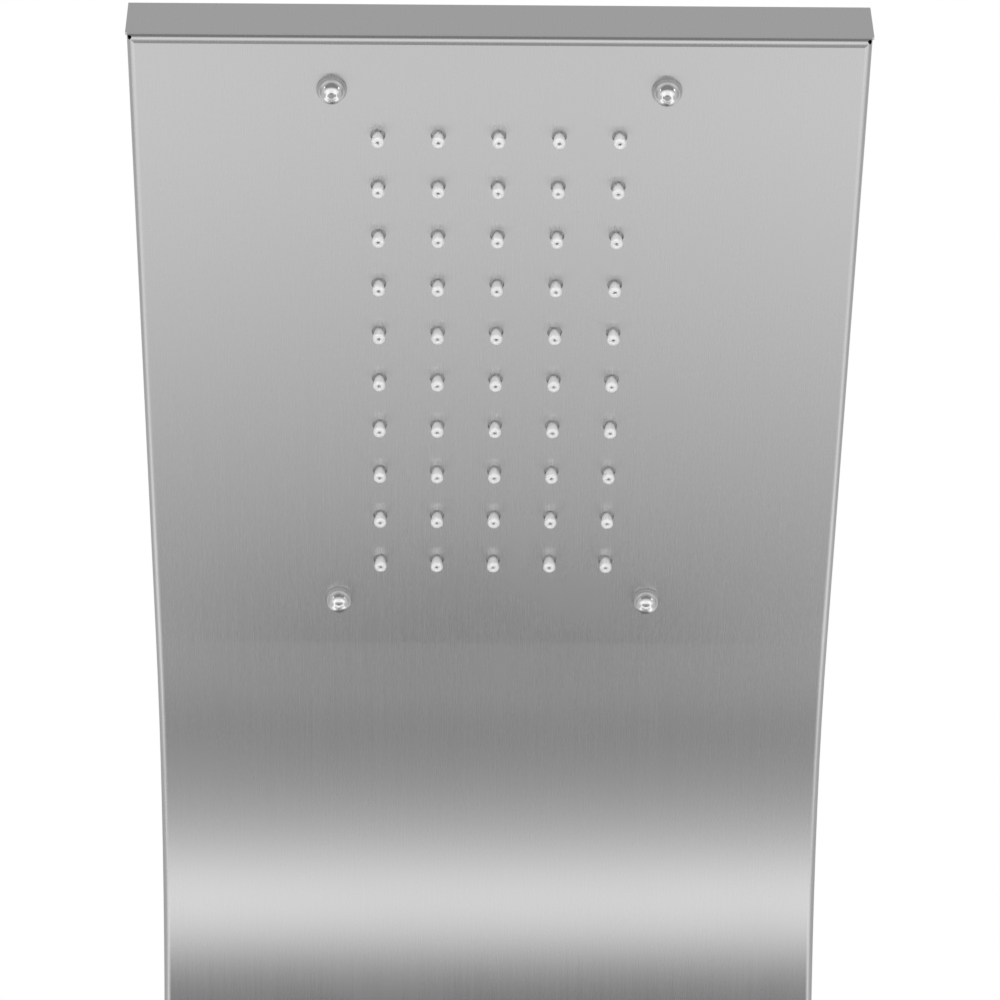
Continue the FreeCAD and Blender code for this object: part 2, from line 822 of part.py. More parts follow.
def mixer_body():
    """Brass casting: cartridge barrel, two inlet arms with male threads, one outlet stub."""
    z = mixer_height
    bore = pipe_radius - pipe_wall
    barrel = rod(mixer_body_radius, on_front(0, valve_rear, z), on_front(0, valve_shoulder, z))
    neck = rod(mixer_neck_radius, on_front(0, valve_shoulder, z), on_front(0, neck_standout, z))
    arm = rod(inlet_arm_radius, on_front(-inlet_x, valve_axis, z), on_front(inlet_x, valve_axis, z))
    outlet = rod(pipe_radius, on_front(0, valve_axis, z), on_front(0, valve_axis, z + stub_rise))
    solids = [barrel, neck, arm, outlet]
    chamber_low = on_front(0, -cartridge_depth, z)
    bores = [rod(cartridge_radius + slide_fit, chamber_low, on_front(0, neck_standout, z))]
    bores.append(rod(bore, on_front(0, valve_axis, z), on_front(0, valve_axis, z + stub_rise)))
    for side in (-1, 1):
        x = side * inlet_x
        top = on_front(x, valve_axis, z)
        thread_top = on_front(x, valve_axis, z - inlet_drop)
        thread_end = on_front(x, valve_axis, z - inlet_drop - thread_length)
        solids.append(Part.makeSphere(inlet_arm_radius, top))
        solids.append(rod(inlet_arm_radius, top, thread_top))
        solids.append(rod(thread_radius, thread_top, thread_end))
        bores.append(rod(0.65 * thread_radius, top, thread_end))
    return fused(solids).cut(bores)


def mixer_cartridge():
    """Fixed sleeve of the ceramic cartridge, bored for the turret."""
    outline = [
        (-cartridge_depth, 0),
        (-cartridge_depth, cartridge_radius),
        (cartridge_front, cartridge_radius),
        (cartridge_front, turret_radius + running_fit),
        (cartridge_front - turret_radius, turret_radius + running_fit),
        (cartridge_front - turret_radius, 0),
    ]
    return front_turned(outline, 0, mixer_height)


def cartridge_nut():
    """Ring that screws into the neck and holds the cartridge down."""
    inner = turret_radius + 2 * ball_gap
    outline = ring_points(inner, cartridge_radius, cartridge_front, neck_standout)
    return front_turned(outline, 0, mixer_height)


def ball_points(radius, low_angle, high_angle):
    """Arc of a sphere round the lever's pivot, from one polar angle to another, for turned()."""
    def point(angle):
        turn = math.radians(angle)
        return pivot_out + radius * math.cos(turn), radius * math.sin(turn)

    return point(low_angle), point(high_angle), point((low_angle + high_angle) / 2)


def cartridge_cover():
    """Fixed sleeve over the cartridge with a ball-shaped front, open in the middle for the stem."""
    inner = cover_ball_radius - cover_wall
    out_low, out_high, out_mid = ball_points(cover_ball_radius, cover_opening, 90)
    in_low, in_high, in_mid = ball_points(inner, cover_opening, 90)
    outline = [
        (ring_nut_height, inner),
        (ring_nut_height, cover_ball_radius),
        out_high,
        (*out_low, *out_mid),
        in_low,
        (*in_high, *in_mid),
    ]
    return front_turned(outline, 0, mixer_height)


def cartridge_turret():
    """Turning fork of the cartridge, whose two ears carry the stem's pin."""
    rear = cartridge_front - turret_radius + running_fit
    front = pivot_out + stem_radius
    z = mixer_height
    body = rod(turret_radius, on_front(0, rear, z), on_front(0, front, z))
    slot_half = stem_radius + ball_gap
    slot_floor = pivot_out - stem_tail - 2 * stem_radius
    slot = Part.makeBox(
        2 * slot_half,
        front - slot_floor + 1,
        4 * turret_radius,
        on_front(-slot_half, front + 1, z - 2 * turret_radius),
    )
    pin_hole = rod(
        pin_radius + slide_fit,
        on_front(-2 * turret_radius, pivot_out, z),
        on_front(2 * turret_radius, pivot_out, z),
    )
    return body.cut([slot, pin_hole])


def stem_pin():
    half = turret_radius - ball_gap - 2 * slide_fit
    low = on_front(-half, pivot_out, mixer_height)
    return rod(pin_radius, low, on_front(half, pivot_out, mixer_height))


def lever_stem():
    """Round stem that tips on the pin and carries the lever."""
    z = mixer_height
    start = on_front(0, pivot_out - stem_tail, z)
    stem = rod(stem_radius, start, on_front(0, pivot_out + lever_nose - lever_skin, z))
    hole = rod(
        pin_radius + running_fit,
        on_front(-2 * stem_radius, pivot_out, z),
        on_front(2 * stem_radius, pivot_out, z),
    )
    return stem.cut(hole)


def lever_screw_axis():
    """Start and end of the grub screw that clamps the lever on its stem."""
    out = pivot_out + lever_nose - lever_screw_back
    outer = mixer_height - lever_nose_radius - 1
    return on_front(0, out, mixer_height - stem_radius), on_front(0, out, outer)


def mixer_lever():
    """Ball-shaped cap with a leaning rod, hollowed over the cartridge cover."""
    cavity_radius = cover_ball_radius + 1.3 * ball_gap
    outer_radius = cavity_radius + lever_wall
    skirt_low, skirt_high, _ = ball_points(outer_radius, lever_reach / 2, lever_reach)
    inner_low, inner_high, inner_mid = ball_points(cavity_radius, 0, lever_reach)
    nose = pivot_out + lever_nose
    shoulder = (nose - 0.25 * (nose - skirt_high[0]), 0.8 * skirt_high[1])
    outline = [
        (nose, 0),
        (nose, lever_nose_radius),
        (*skirt_high, *shoulder),
        inner_high,
        (*inner_low, *inner_mid),
    ]
    cap = front_turned(outline, 0, mixer_height)
    lean = math.radians(lever_lean)
    out_start = pivot_out + lever_nose - 1.6 * lever_rod_radius
    start = on_front(0, out_start, mixer_height - lever_nose_radius)
    along = at(0, -math.sin(lean), -math.cos(lean))
    length = lever_length - lever_nose_radius
    grip = Part.makeCone(lever_rod_radius, lever_tip_radius, length, start, along)
    tip = Part.makeSphere(lever_tip_radius, start + along * length)
    pivot = on_front(0, pivot_out, mixer_height)
    hollow_ball = Part.makeSphere(cavity_radius, pivot)
    stem_end = on_front(0, pivot_out + lever_nose - lever_skin, mixer_height)
    stem_hole = rod(stem_radius + slide_fit / 2, pivot, stem_end)
    screw_hole = rod(pin_radius + slide_fit, *lever_screw_axis())
    return fused([cap, grip, tip]).cut([hollow_ball, stem_hole, screw_hole])


def lever_screw():
    start, end = lever_screw_axis()
    return rod(pin_radius, start, start + (end - start) * 0.6)


def lever_mark():
    """Small round temperature plug on the lever's nose."""
    nose = pivot_out + lever_nose
    outline = [
        (nose, 0),
        (nose, mark_radius),
        (nose + mark_rise, mark_radius - mark_bevel),
        (nose + mark_rise, 0),
    ]
    return front_turned(outline, 0, mixer_height)


def diverter_body():
    """Brass casting: barrel, arms to the rain pipe and the outlet, stubs to jets and mixer."""
    z = diverter_height
    bore = pipe_radius - pipe_wall
    rain_axis = -rain_pipe_depth
    barrel = rod(diverter_body_radius, on_front(0, valve_rear, z), on_front(0, valve_shoulder, z))
    neck = rod(diverter_neck_radius, on_front(0, valve_shoulder, z), on_front(0, neck_standout, z))
    arms = [
        (on_front(0, rain_axis, z), on_front(rain_pipe_x, rain_axis, z)),
        (on_front(0, valve_axis, z), on_front(outlet_x, valve_axis, z)),
    ]
    stubs = [
        (on_front(rain_pipe_x, rain_axis, z), on_front(rain_pipe_x, rain_axis, z + stub_rise)),
        (on_front(0, manifold_axis, z), on_front(0, manifold_axis, z + stub_rise)),
        (on_front(0, valve_axis, z), on_front(0, valve_axis, z - stub_rise)),
    ]
    solids = [barrel, neck]
    solids += [rod(diverter_arm_radius, *arm) for arm in arms]
    solids += [Part.makeSphere(diverter_arm_radius, arm[1]) for arm in arms]
    solids += [rod(pipe_radius, *stub) for stub in stubs]
    outlet = rod(
        outlet_neck_radius, on_front(outlet_x, valve_shoulder, z), on_front(outlet_x, neck_standout, z)
    )
    outlet_boss = rod(
        outlet_neck_radius + ring_nut_width / 2,
        on_front(outlet_x, valve_axis, z),
        on_front(outlet_x, valve_shoulder, z),
    )
    solids += [outlet, outlet_boss]
    seat = on_front(0, valve_axis, z)
    bores = [rod(diverter_cartridge_radius + slide_fit, seat, on_front(0, neck_standout, z))]
    bores += [rod(bore, *stub) for stub in stubs]
    bores.append(rod(bore, on_front(outlet_x, valve_axis, z), on_front(outlet_x, neck_standout, z)))
    return fused(solids).cut(bores)


def diverter_cartridge():
    """Fixed sleeve of the diverter, bored for the spindle."""
    bore = spindle_radius + running_fit
    outline = [
        (valve_axis, 0),
        (valve_axis, diverter_cartridge_radius),
        (neck_standout, diverter_cartridge_radius),
        (neck_standout, bore),
        (-spindle_tail - running_fit, bore),
        (-spindle_tail - running_fit, 0),
    ]
    return front_turned(outline, 0, diverter_height)


def knob_rear():
    return diverter_trim_height + knob_gap


def diverter_spindle():
    z = diverter_height
    end = knob_rear() + 0.8 * knob_length
    return rod(spindle_radius, on_front(0, -spindle_tail, z), on_front(0, end, z))


def knob_screw_axis():
    out = knob_rear() + 0.5 * knob_length
    low = on_front(0, out, diverter_height - spindle_radius)
    return low, on_front(0, out, diverter_height - knob_radius)


def diverter_knob():
    """Round knob with a short pointer pin on top."""
    rear = knob_rear()
    front = rear + knob_length
    edge = 0.12 * knob_length
    outline = [
        (rear, 0),
        (rear, knob_radius - edge / 2),
        (rear + edge / 2, knob_radius),
        (front - edge, knob_radius),
        (
            front,
            knob_radius - edge,
            front - edge * (1 - math.sqrt(0.5)),
            knob_radius - edge * (1 - math.sqrt(0.5)),
        ),
        (front, 0),
    ]
    z = diverter_height
    knob = front_turned(outline, 0, z)
    pin_out = rear + 0.55 * knob_length
    pin_end = on_front(0, pin_out, z + knob_radius + knob_pin_length)
    pin = rod(knob_pin_radius, on_front(0, pin_out, z + knob_radius / 2), pin_end)
    ball = Part.makeSphere(knob_pin_radius, pin_end)
    spindle_end = on_front(0, rear + 0.8 * knob_length, z)
    hole = rod(spindle_radius + slide_fit / 2, on_front(0, 0, z), spindle_end)
    screw_hole = rod(pin_radius + slide_fit, *knob_screw_axis())
    return fused([knob, pin, ball]).cut([hole, screw_hole])


def knob_screw():
    start, end = knob_screw_axis()
    return rod(pin_radius, start, start + (end - start) * 0.6)


# ---- hand shower outlet ----
def outlet_elbow():
    """Chromed elbow on the outlet neck, with a male thread that points down."""
    z = diverter_height
    bore = pipe_radius - pipe_wall
    bend = on_front(outlet_x, elbow_out, z)
    thread_top = on_front(outlet_x, elbow_out, z - elbow_drop)
    thread_end = thread_top - at(0, 0, thread_length)
    barrel = rod(elbow_radius, on_front(outlet_x, 0, z), bend)
    solids = [barrel, Part.makeSphere(elbow_radius, bend), rod(elbow_radius, bend, thread_top)]
    solids.append(rod(thread_radius, thread_top, thread_end))
    socket = rod(
        outlet_neck_radius + slide_fit, on_front(outlet_x, 0, z), on_front(outlet_x, neck_standout, z)
    )
    bores = [socket, rod(bore, on_front(outlet_x, 0, z), bend), Part.makeSphere(bore, bend)]
    bores.append(rod(bore, bend, thread_end))
    return fused(solids).cut(bores)


def outlet_trim():
    """Small escutcheon round the elbow."""
    inner = elbow_radius + slide_fit
    outline = [
        (0, inner),
        (0, outlet_trim_radius),
        (0.3 * outlet_trim_height, outlet_trim_radius),
        (
            outlet_trim_height,
            inner + outlet_trim_land,
            0.8 * outlet_trim_height,
            inner + 0.7 * (outlet_trim_radius - inner),
        ),
        (outlet_trim_height, inner),
    ]
    return front_turned(outline, outlet_x, diverter_height)


# ---- rails and brackets ----
def wall_bracket(height):
    """Wall plate with an upturned tongue, screwed to the wall through two holes."""
    s = bracket_sheet
    low = height - bracket_half_height
    high = height + bracket_half_height
    tongue_back = -s - bracket_step
    outline = [
        (0, low),
        (0, high),
        (tongue_back, high),
        (tongue_back, high - s + bracket_tongue),
        (tongue_back - s, high - s + bracket_tongue),
        (tongue_back - s, high - s),
        (-s, high - s),
        (-s, low),
    ]
    plate = slab(outline, bracket_width)
    holes = [
        rod(bracket_screw_radius, at(x, s, height), at(x, -2 * s, height))
        for x in (-bracket_screw_x, bracket_screw_x)
    ]
    return plate.cut(holes)


def hanging_rail(height):
    """Rail across the panel's back whose hook drops behind the bracket's tongue."""
    s = bracket_sheet
    seat = height + bracket_half_height - s + bracket_tongue
    hook_back = -s - hook_play
    hook_front = hook_back - s
    web_back = hook_front - rail_reach
    outline = [
        (hook_back, seat - rail_hang),
        (hook_back, seat + s),
        (web_back - s, seat + s),
        (web_back - s, seat + s - rail_skirt),
        (web_back, seat + s - rail_skirt),
        (web_back, seat),
        (hook_front, seat),
        (hook_front, seat - rail_hang),
    ]
    return slab(outline, panel_width - 2 * sheet)


# ---- every node ----
def nodes():
    made = {
        "front_panel": front_panel(),
        "head_cover": head_cover(),
        "cover_screws": cover_screws(),
        "nozzle_mat": nozzle_mat(),
        "spray_chamber": spray_chamber(),
        "chamber_bolts": chamber_bolts(),
        "dome_nuts": dome_nuts(),
        "rain_pipe": rain_pipe(),
        "pipe_nuts": pipe_nuts(),
        "pipe_clips": pipe_clips(),
        "link_pipe": link_pipe(),
        "jet_manifold": jet_manifold(),
        "jet_nuts": jet_nuts(),
        "gaskets": gaskets(),
        "ring_nuts": ring_nuts(),
        "mixer_body": mixer_body(),
        "mixer_cartridge": mixer_cartridge(),
        "cartridge_nut": cartridge_nut(),
        "cartridge_cover": cartridge_cover(),
        "cartridge_turret": cartridge_turret(),
        "stem_pin": stem_pin(),
        "lever_stem": lever_stem(),
        "mixer_lever": mixer_lever(),
        "lever_screw": lever_screw(),
        "lever_mark": lever_mark(),
        "diverter_body": diverter_body(),
        "diverter_cartridge": diverter_cartridge(),
        "diverter_spindle": diverter_spindle(),
        "diverter_knob": diverter_knob(),
        "knob_screw": knob_screw(),
        "outlet_elbow": outlet_elbow(),
        "outlet_trim": outlet_trim(),
        "wall_bracket_upper": wall_bracket(0),
        "wall_bracket_lower": wall_bracket(lower_screws),
        "hanging_rail_upper": hanging_rail(0),
        "hanging_rail_lower": hanging_rail(lower_screws),
    }
    cover_gap = cover_ball_radius + ball_gap
    spindle_gap = diverter_neck_radius + ring_nut_width + ball_gap
    made["mixer_trim"] = trim(mixer_trim_radius, mixer_trim_height, cover_gap, 0, mixer_height)
    made["diverter_trim"] = trim(
        diverter_trim_radius, diverter_trim_height, spindle_gap, 0, diverter_height
    )
    for number, height in enumerate(jet_heights, start=1):
        made[f"jet_housing_{number}"] = jet_housing(height)
        made[f"jet_ring_{number}"] = jet_ring(height)
        made[f"jet_ball_{number}"] = jet_ball(height)
        made[f"jet_insert_{number}"] = jet_insert(height)
    return made


def main():
    os.makedirs("parts", exist_ok=True)
    for name, made in nodes().items():
        solids = made if isinstance(made, list) else [made]
        shape = Part.makeCompound([solid for piece in solids for solid in piece.Solids])
        shape.exportStep(f"parts/{name}.step")


main()
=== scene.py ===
"""Wall-hung shower panel column: finishes, fine nozzles, studio light and camera.

Metres, +Z up, the wall is the plane y = 0 and the panel stands in front of it at negative y.
"""

import math

import bmesh
import bpy
from mathutils import Matrix, Vector


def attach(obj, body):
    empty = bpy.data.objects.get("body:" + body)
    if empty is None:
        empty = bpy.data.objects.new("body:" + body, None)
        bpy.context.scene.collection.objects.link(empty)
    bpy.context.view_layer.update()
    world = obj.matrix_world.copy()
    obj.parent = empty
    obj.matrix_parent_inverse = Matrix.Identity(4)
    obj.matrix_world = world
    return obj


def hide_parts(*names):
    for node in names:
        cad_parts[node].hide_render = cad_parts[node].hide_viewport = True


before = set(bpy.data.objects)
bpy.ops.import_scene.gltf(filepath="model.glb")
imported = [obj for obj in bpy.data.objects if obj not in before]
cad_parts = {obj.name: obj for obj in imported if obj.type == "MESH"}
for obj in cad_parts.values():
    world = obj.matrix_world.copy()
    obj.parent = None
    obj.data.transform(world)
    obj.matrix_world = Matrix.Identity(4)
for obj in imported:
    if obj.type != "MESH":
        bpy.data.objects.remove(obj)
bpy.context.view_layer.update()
MM = 0.001

# ---- sizes shared with the solids ----
HEAD_TILT = math.radians(15)
NECK_CENTRE = Vector((0.0, -344 * MM, 70 * MM))
NECK_RADIUS = 289 * MM
NECK_TURN = math.radians(90) - HEAD_TILT
LIP_EDGE = Vector((0.0, -516.865 * MM, 415.514 * MM))
HEAD_BACK = Vector((0.0, math.cos(HEAD_TILT), -math.sin(HEAD_TILT)))
HEAD_UP = Vector((0.0, math.sin(HEAD_TILT), math.cos(HEAD_TILT)))
NOZZLE_PITCH = 20 * MM
NOZZLE_COLUMNS = 5
NOZZLE_ROWS = 10
FIRST_ROW = 37.7 * MM
FACE_SHEET = 1.2 * MM
CAP_FOOT = 0.8 * MM
MAT_THICKNESS = 2 * MM
MAT_HALF_WIDTH = 63 * MM
MAT_FRONT = 11.7 * MM
MAT_REAR = 243.7 * MM

# ---- the soft nozzle mat ----
MAT_SLACK = 0.3 * MM  # the nubs hang this far back in their holes
MAT_CORNER = 4 * MM
MAT_CORNER_STEPS = 6
MAT_EDGE = 0.4 * MM
NUB_SIDES = 40
NUB_PROFILE = [  # radius and height over the face in mm, from the water hole outwards
    (0.0, -1.0),
    (0.5, -1.0),
    (0.5, 4.1),
    (0.56, 4.4),
    (0.78, 4.64),
    (1.2, 4.76),
    (1.6, 4.7),
    (1.92, 4.5),
    (2.1, 4.2),
    (2.15, 3.85),
    (2.12, 3.4),
    (2.05, 2.8),
    (1.97, 2.1),
    (1.86, 1.4),
    (1.72, 0.8),
    (1.55, 0.3),
    (1.4, -0.2),
    (1.3, -1.3),
    (0.0, -1.3),
]

# ---- camera ----
CAMERA_PLACE = (-0.016306, -1.560961, -0.554389)
CAMERA_HEADING = math.radians(0.862)
CAMERA_RISE = math.radians(36.847)
CAMERA_ROLL = math.radians(-0.210)
CAMERA_LENS = 156.9
CAMERA_FILM_WIDTH = 36
CAMERA_REACH = 50

# ---- studio; each list of levels is (place or direction, grey level) ----
FLOOR_HEIGHT = -0.97
FLOOR_RADIUS = 12
FLOOR_SIDES = 96
FLOOR_PALENESS = 0.55
CARD_HEIGHT = -0.20
CARD_HALF = 0.45
CARD_SIDES = (0.08, 0.42)
CARD_SIDE_GAIN = 1.25
CARD_NEAREST = 0.44
HEAD_REACH = (0.550, 0.600)
HEAD_LEVELS = [
    (-0.75, 0.40),
    (-0.47, 0.36),
    (-0.42, 0.45),
    (-0.38, 0.84),
    (-0.323, 0.89),
    (-0.273, 0.83),
    (-0.223, 0.78),
    (-0.171, 0.69),
    (-0.118, 0.58),
    (-0.065, 0.49),
    (-0.02, 0.43),
]
NECK_LEVELS = [
    (-0.75, 0.0),
    (-0.390, 0.0),
    (-0.365, 0.42),
    (-0.340, 1.08),
    (-0.313, 1.34),
    (-0.283, 1.15),
    (-0.255, 0.68),
    (-0.215, 0.47),
    (-0.175, 0.34),
    (-0.110, 0.235),
    (-0.050, 0.30),
    (-0.020, 0.40),
]
FLAG_PLACE = -1.20
FLAG_HALF = 1.00
FLAG_LOW = 0.33
FLAG_HIGH = 0.92
FLAG_LEVEL = 0.25
FRONT_REACH = (-0.35, -0.05)
FRONT_LEVELS = [
    (-1.0, 0.20),
    (-0.94, 0.18),
    (-0.86, 0.30),
    (-0.76, 1.00),
    (-0.42, 1.00),
    (-0.15, 0.60),
    (0.5, 0.52),
    (1.0, 0.52),
]
ROOM_LEVEL = 0.55
SIDE_REACH = (-0.45, -0.25)
SIDE_LEVELS = [(0.0, 0.0), (0.25, 0.0), (0.45, 1.0), (0.66, 1.0), (0.78, 0.0), (1.0, 0.0)]
SIDE_GLOW = 1.15
DIFFUSE_LEVEL = 0.5
LAMPS = [  # name, place, aim, width, height, radiance, whether metal shows it
    ("front_softbox", (-1.2, -3.0, 1.2), (0, -0.2, -0.2), 3.0, 2.4, 1.2, False),
    ("top_softbox", (0.2, -0.6, 2.6), (0, -0.3, 0), 2.5, 2.0, 1.2, False),
    ("left_softbox", (-2.6, -2.4, 1.5), (0, -0.4, 0.2), 1.0, 1.6, 1.2, True),
    ("right_softbox", (2.8, -2.2, 1.4), (0, -0.4, 0.2), 1.0, 1.6, 1.2, True),
    ("low_front_fill", (0, -2.4, -0.2), (0, -0.4, 0.38), 2.4, 1.2, 2.0, False),
    ("under_head_fill", (0, -0.45, -0.35), (0, -0.40, 1), 1.0, 0.6, 0.5, False),
]


# ---- node helpers ----
def fill(tree, socket, value):
    """Sets an input socket, or links it where the value is another node's output."""
    if isinstance(value, bpy.types.NodeSocket):
        tree.links.new(value, socket)
    else:
        socket.default_value = value


def put(tree, kind, values=None, **settings):
    """Adds a node, with its options and then its inputs by name or number."""
    node = tree.nodes.new(kind)
    for name, value in settings.items():
        setattr(node, name, value)
    for name, value in (values or {}).items():
        fill(tree, node.inputs[name], value)
    return node


def calc(tree, operation, *values):
    """One step of arithmetic on numbers."""
    return put(tree, "ShaderNodeMath", dict(enumerate(values)), operation=operation).outputs[0]


def remap(tree, value, low, high, to_low, to_high):
    """Carries a value from one range to another and holds it at the ends."""
    ends = {"From Min": low, "From Max": high, "To Min": to_low, "To Max": to_high}
    return put(tree, "ShaderNodeMapRange", {"Value": value, **ends}).outputs["Result"]


def mixed(tree, share, first, second):
    """Blend of two colours by a mask."""
    node = put(tree, "ShaderNodeMix", data_type="RGBA")
    first_colour, second_colour = node.inputs[6], node.inputs[7]
    fill(tree, node.inputs["Factor"], share)
    fill(tree, first_colour, first)
    fill(tree, second_colour, second)
    return node.outputs[2]


def mixed_shader(tree, share, first, second):
    return put(tree, "ShaderNodeMixShader", {0: share, 1: first, 2: second}).outputs[0]


def object_place(tree):
    """The surface point in the object's own metres."""
    return put(tree, "ShaderNodeTexCoord").outputs["Object"]


def apart(tree, vector):
    """The three numbers of a vector."""
    return put(tree, "ShaderNodeSeparateXYZ", {0: vector}).outputs


def together(tree, x, y, z):
    """Vector of three numbers."""
    return put(tree, "ShaderNodeCombineXYZ", {0: x, 1: y, 2: z}).outputs[0]


def effect(name, inputs, outputs):
    """Empty shader group. Inputs are (name, kind, default) and outputs (name, kind)."""
    tree = bpy.data.node_groups.new(name, "ShaderNodeTree")
    for label, kind, default in inputs:
        socket = tree.interface.new_socket(name=label, in_out="INPUT", socket_type=kind)
        socket.default_value = default
    for label, kind in outputs:
        tree.interface.new_socket(name=label, in_out="OUTPUT", socket_type=kind)
    return tree, put(tree, "NodeGroupInput").outputs, put(tree, "NodeGroupOutput").inputs


def use(tree, group, **values):
    """Places an effect in a material and gives its outputs; _ stands for a space in a name."""
    node = put(tree, "ShaderNodeGroup", node_tree=group)
    for name, value in values.items():
        fill(tree, node.inputs[name.replace("_", " ")], value)
    return node.outputs


def grey(level):
    return (level, level, level, 1.0)


# ---- effects that several finishes share ----
def make_panel_run():
    """Coordinates that follow the folded sheet, and the depth behind its face.

    The run is (across, layer, along). The layer is zero on the face and the depth on the cheeks.
    """
    outputs = [("Run", "NodeSocketVector"), ("Depth", "NodeSocketFloat")]
    tree, _, out = effect("panel_run", [], outputs)
    across, y, z = apart(tree, object_place(tree))
    y = calc(tree, "SUBTRACT", y, NECK_CENTRE.y)
    z = calc(tree, "SUBTRACT", z, NECK_CENTRE.z)
    angle = calc(tree, "MAXIMUM", calc(tree, "ARCTAN2", z, y), 0.0)
    angle = calc(tree, "MINIMUM", angle, NECK_TURN)
    cosine = calc(tree, "COSINE", angle)
    sine = calc(tree, "SINE", angle)
    depth = calc(tree, "ADD", calc(tree, "MULTIPLY", y, cosine), calc(tree, "MULTIPLY", z, sine))
    depth = calc(tree, "SUBTRACT", depth, NECK_RADIUS)
    rise = calc(tree, "MULTIPLY", z, cosine)
    past = calc(tree, "SUBTRACT", rise, calc(tree, "MULTIPLY", y, sine))
    along = calc(tree, "ADD", calc(tree, "MULTIPLY", angle, NECK_RADIUS), past)
    sideways = apart(tree, put(tree, "ShaderNodeTexCoord").outputs["Normal"])[0]
    layer = calc(tree, "MULTIPLY", depth, calc(tree, "ABSOLUTE", sideways))
    fill(tree, out["Run"], together(tree, across, layer, along))
    fill(tree, out["Depth"], depth)
    return tree


def make_brushed_grain():
    """Fine parallel scratches: long in the third coordinate, narrow in the other two."""
    inputs = [
        ("Run", "NodeSocketVector", (0, 0, 0)),
        ("Scratch Width", "NodeSocketFloat", 0.0003),
        ("Scratch Length", "NodeSocketFloat", 0.05),
    ]
    tree, given, out = effect("brushed_grain", inputs, [("Grain", "NodeSocketFloat")])
    layers = []
    for widen, lengthen, detail in ((1.0, 1.0, 2.0), (5.0, 3.0, 1.0)):
        width = calc(tree, "MULTIPLY", given["Scratch Width"], widen)
        length = calc(tree, "MULTIPLY", given["Scratch Length"], lengthen)
        size = together(tree, width, width, length)
        place = put(tree, "ShaderNodeVectorMath", {0: given["Run"], 1: size}, operation="DIVIDE")
        noise = put(tree, "ShaderNodeTexNoise", {"Scale": 1.0, "Detail": detail})
        fill(tree, noise.inputs["Vector"], place.outputs[0])
        layers.append(noise.outputs[0])
    fine = calc(tree, "MULTIPLY", layers[0], 0.65)
    fill(tree, out["Grain"], calc(tree, "MULTIPLY_ADD", layers[1], 0.35, fine))
    return tree


def make_handling_marks():
    """Soft uneven film that wiping leaves on metal and plastic."""
    inputs = [("Patch Size", "NodeSocketFloat", 0.05), ("Streak Size", "NodeSocketFloat", 0.01)]
    tree, given, out = effect("handling_marks", inputs, [("Film", "NodeSocketFloat")])
    place = object_place(tree)
    films = []
    for size, detail in (("Patch Size", 3.0), ("Streak Size", 4.0)):
        scale = calc(tree, "DIVIDE", 1.0, given[size])
        noise = put(tree, "ShaderNodeTexNoise", {"Vector": place, "Scale": scale, "Detail": detail})
        films.append(remap(tree, noise.outputs[0], 0.35, 0.7, 0.0, 1.0))
    fill(tree, out["Film"], calc(tree, "MULTIPLY", *films))
    return tree


def make_fine_texture():
    """Pebbled surface of cast metal, moulded plastic or rubber."""
    inputs = [("Pebble Size", "NodeSocketFloat", 0.0006)]
    outputs = [("Pebbles", "NodeSocketFloat"), ("Mottle", "NodeSocketFloat")]
    tree, given, out = effect("fine_texture", inputs, outputs)
    place = object_place(tree)
    scale = calc(tree, "DIVIDE", 1.0, given["Pebble Size"])
    pebbles = put(tree, "ShaderNodeTexVoronoi", {"Vector": place, "Scale": scale})
    wide = calc(tree, "MULTIPLY", scale, 0.08)
    mottle = put(tree, "ShaderNodeTexNoise", {"Vector": place, "Scale": wide, "Detail": 4.0})
    fill(tree, out["Pebbles"], pebbles.outputs["Distance"])
    fill(tree, out["Mottle"], mottle.outputs[0])
    return tree


panel_run = make_panel_run()
brushed_grain = make_brushed_grain()
handling_marks = make_handling_marks()
fine_texture = make_fine_texture()


# ---- finishes ----
def finish(name, **settings):
    """New material with a Principled shader; settings are its plain sockets, with _ for a space."""
    material = bpy.data.materials.new(name)
    material.use_nodes = True
    tree = material.node_tree
    shader = tree.nodes["Principled BSDF"]
    for socket, value in settings.items():
        shader.inputs[socket.replace("_", " ")].default_value = value
    return material, tree, shader


def bumped(tree, shader, height, strength, distance):
    """Gives a finish fine relief; the distance is its depth in metres."""
    values = {"Height": height, "Strength": strength, "Distance": distance}
    fill(tree, shader.inputs["Normal"], put(tree, "ShaderNodeBump", values).outputs[0])


def brushed_stainless():
    """Sheet brushed along the panel, so that reflections smear across it."""
    material, tree, shader = finish(
        "brushed_stainless", Metallic=1.0, Anisotropic=0.8, Anisotropic_Rotation=0.25
    )
    run = use(tree, panel_run)["Run"]
    grain = use(tree, brushed_grain, Run=run, Scratch_Width=0.00022, Scratch_Length=0.045)["Grain"]
    film = use(tree, handling_marks, Patch_Size=0.12, Streak_Size=0.03)["Film"]
    fill(tree, shader.inputs["Base Color"], mixed(tree, grain, grey(0.615), grey(0.645)))
    rough = remap(tree, grain, 0.3, 0.7, 0.26, 0.28)
    fill(tree, shader.inputs["Roughness"], calc(tree, "MULTIPLY_ADD", film, 0.015, rough))
    tangent = put(tree, "ShaderNodeTangent", direction_type="RADIAL", axis="X")
    fill(tree, shader.inputs["Tangent"], tangent.outputs[0])
    bumped(tree, shader, grain, 0.04, 0.00002)
    return material


def chrome_plate():
    """Polished plating under a thin film of water marks."""
    material, tree, shader = finish("chrome_plate", Metallic=1.0)
    film = use(tree, handling_marks, Patch_Size=0.03, Streak_Size=0.006)["Film"]
    fill(tree, shader.inputs["Base Color"], mixed(tree, film, grey(0.84), grey(0.80)))
    fill(tree, shader.inputs["Roughness"], remap(tree, film, 0.0, 1.0, 0.04, 0.10))
    return material


